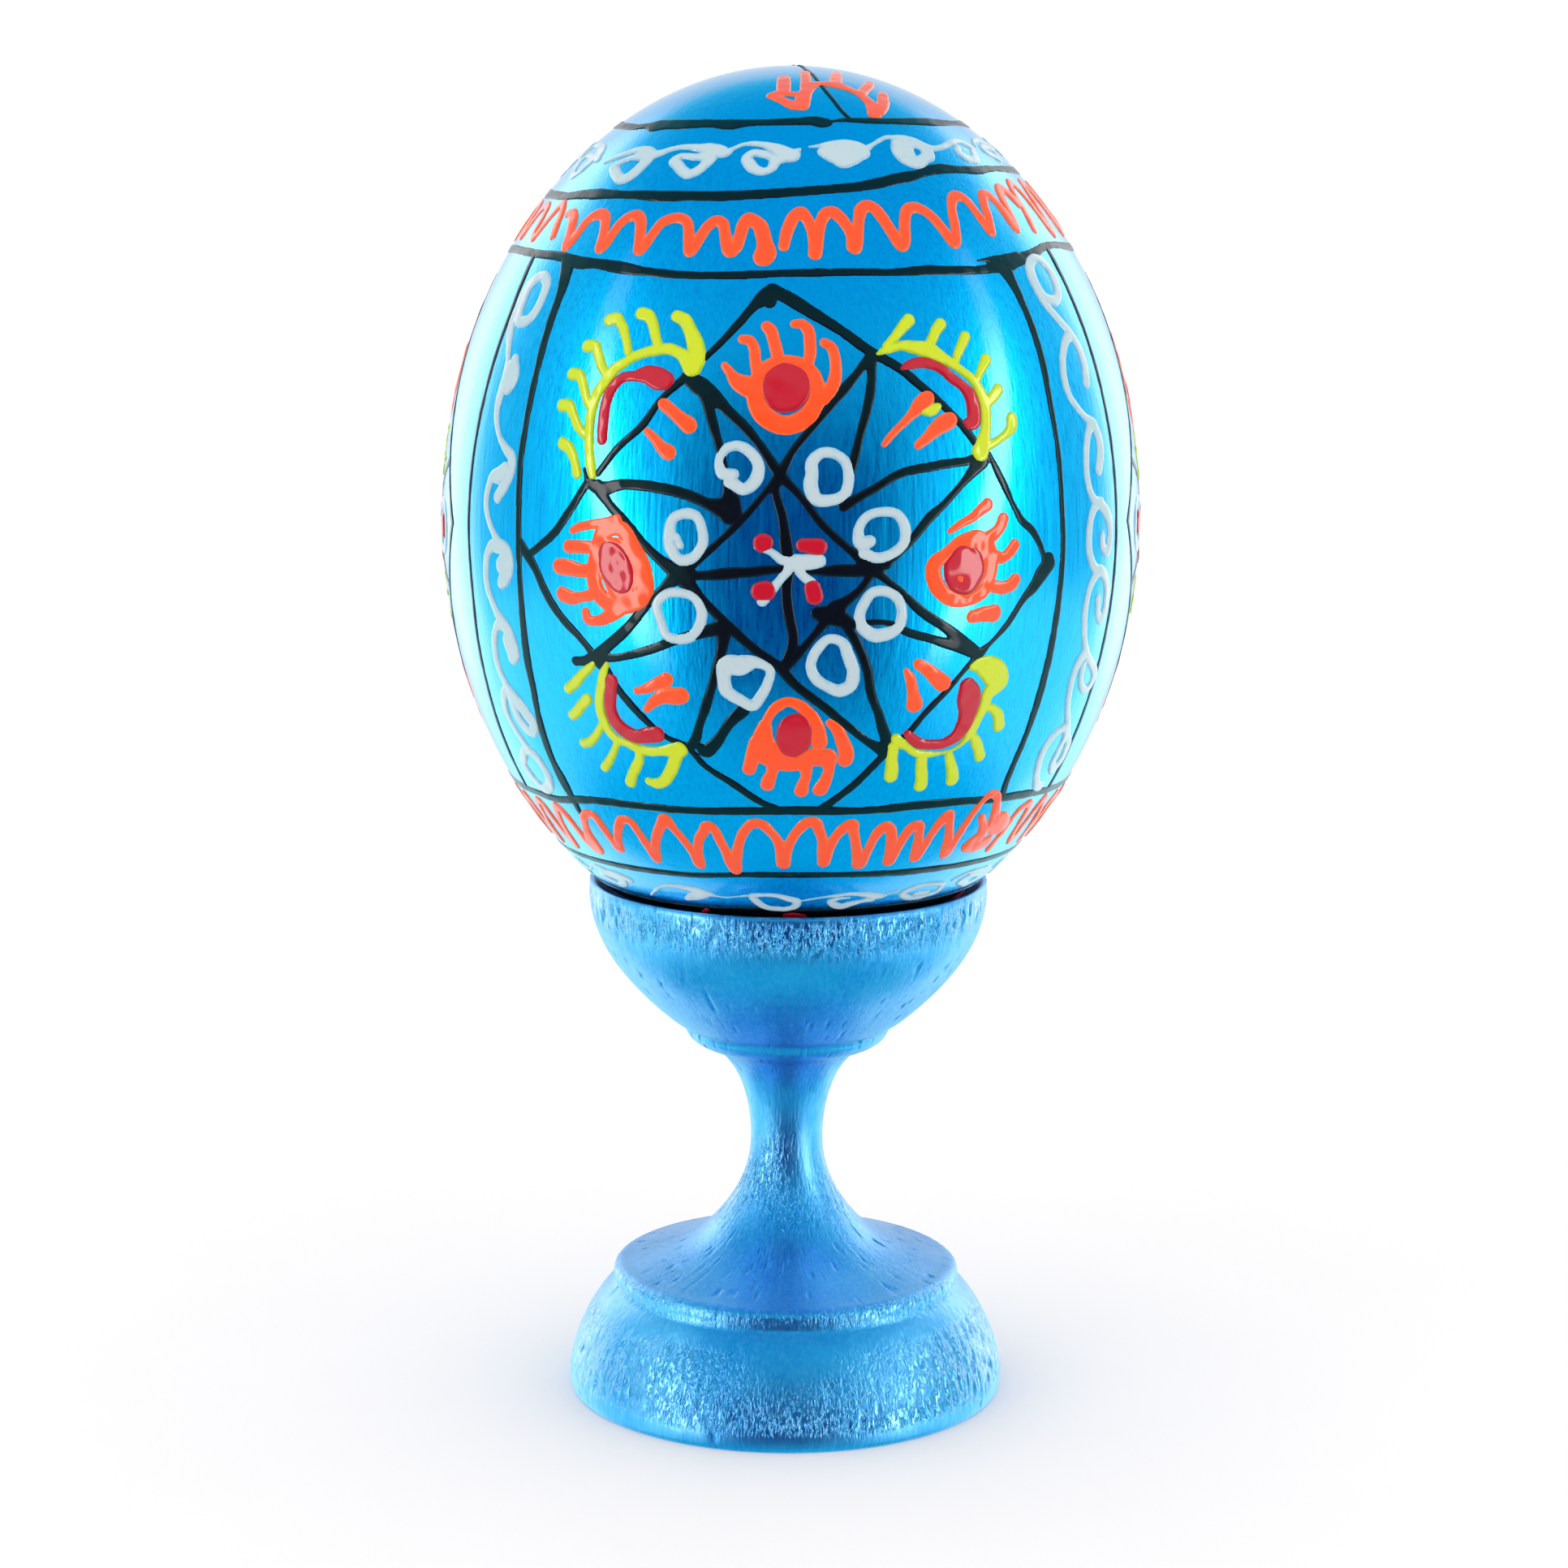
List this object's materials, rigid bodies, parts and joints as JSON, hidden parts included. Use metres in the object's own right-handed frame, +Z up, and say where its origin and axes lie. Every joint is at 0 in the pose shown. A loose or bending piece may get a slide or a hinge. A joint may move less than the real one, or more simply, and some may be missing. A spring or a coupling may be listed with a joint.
{
  "type": "painted wooden easter egg on turned stand",
  "caption": "Lacquered blue wooden egg painted with a star, combs, rings and zigzag bands, resting loose in a turned goblet stand.",
  "frame": {"origin": "centre of the stand's flat underside, at the height of the surface it stands on", "axes": "+Z up along the common turning axis of egg and stand, -Y towards the viewer who looks at the painted star on the egg's front, +X to that viewer's right"},
  "size_m": [0.0446, 0.0446, 0.0863],
  "materials": {
    "egg_lacquer": "pearl blue stain under clear gloss lacquer, grain showing",
    "stand_paint": "satin pearl blue paint, open grain",
    "paint_black": "raised black paint lines under the egg's clear gloss lacquer",
    "paint_white": "raised white paint under the egg's clear gloss lacquer",
    "paint_orange": "raised orange paint under the egg's clear gloss lacquer",
    "paint_lime": "raised lime green paint under the egg's clear gloss lacquer",
    "paint_red": "raised red paint under the egg's clear gloss lacquer"
  },
  "bodies": {
    "stand": {"stand": "stand_paint"},
    "egg": {"egg": "egg_lacquer"}
  },
  "joints": [
    {"name": "egg_lift", "type": "slide", "parent": "stand", "child": "egg", "axis": [0, 0, 1], "range_m": [0, 0.03]}
  ]
}
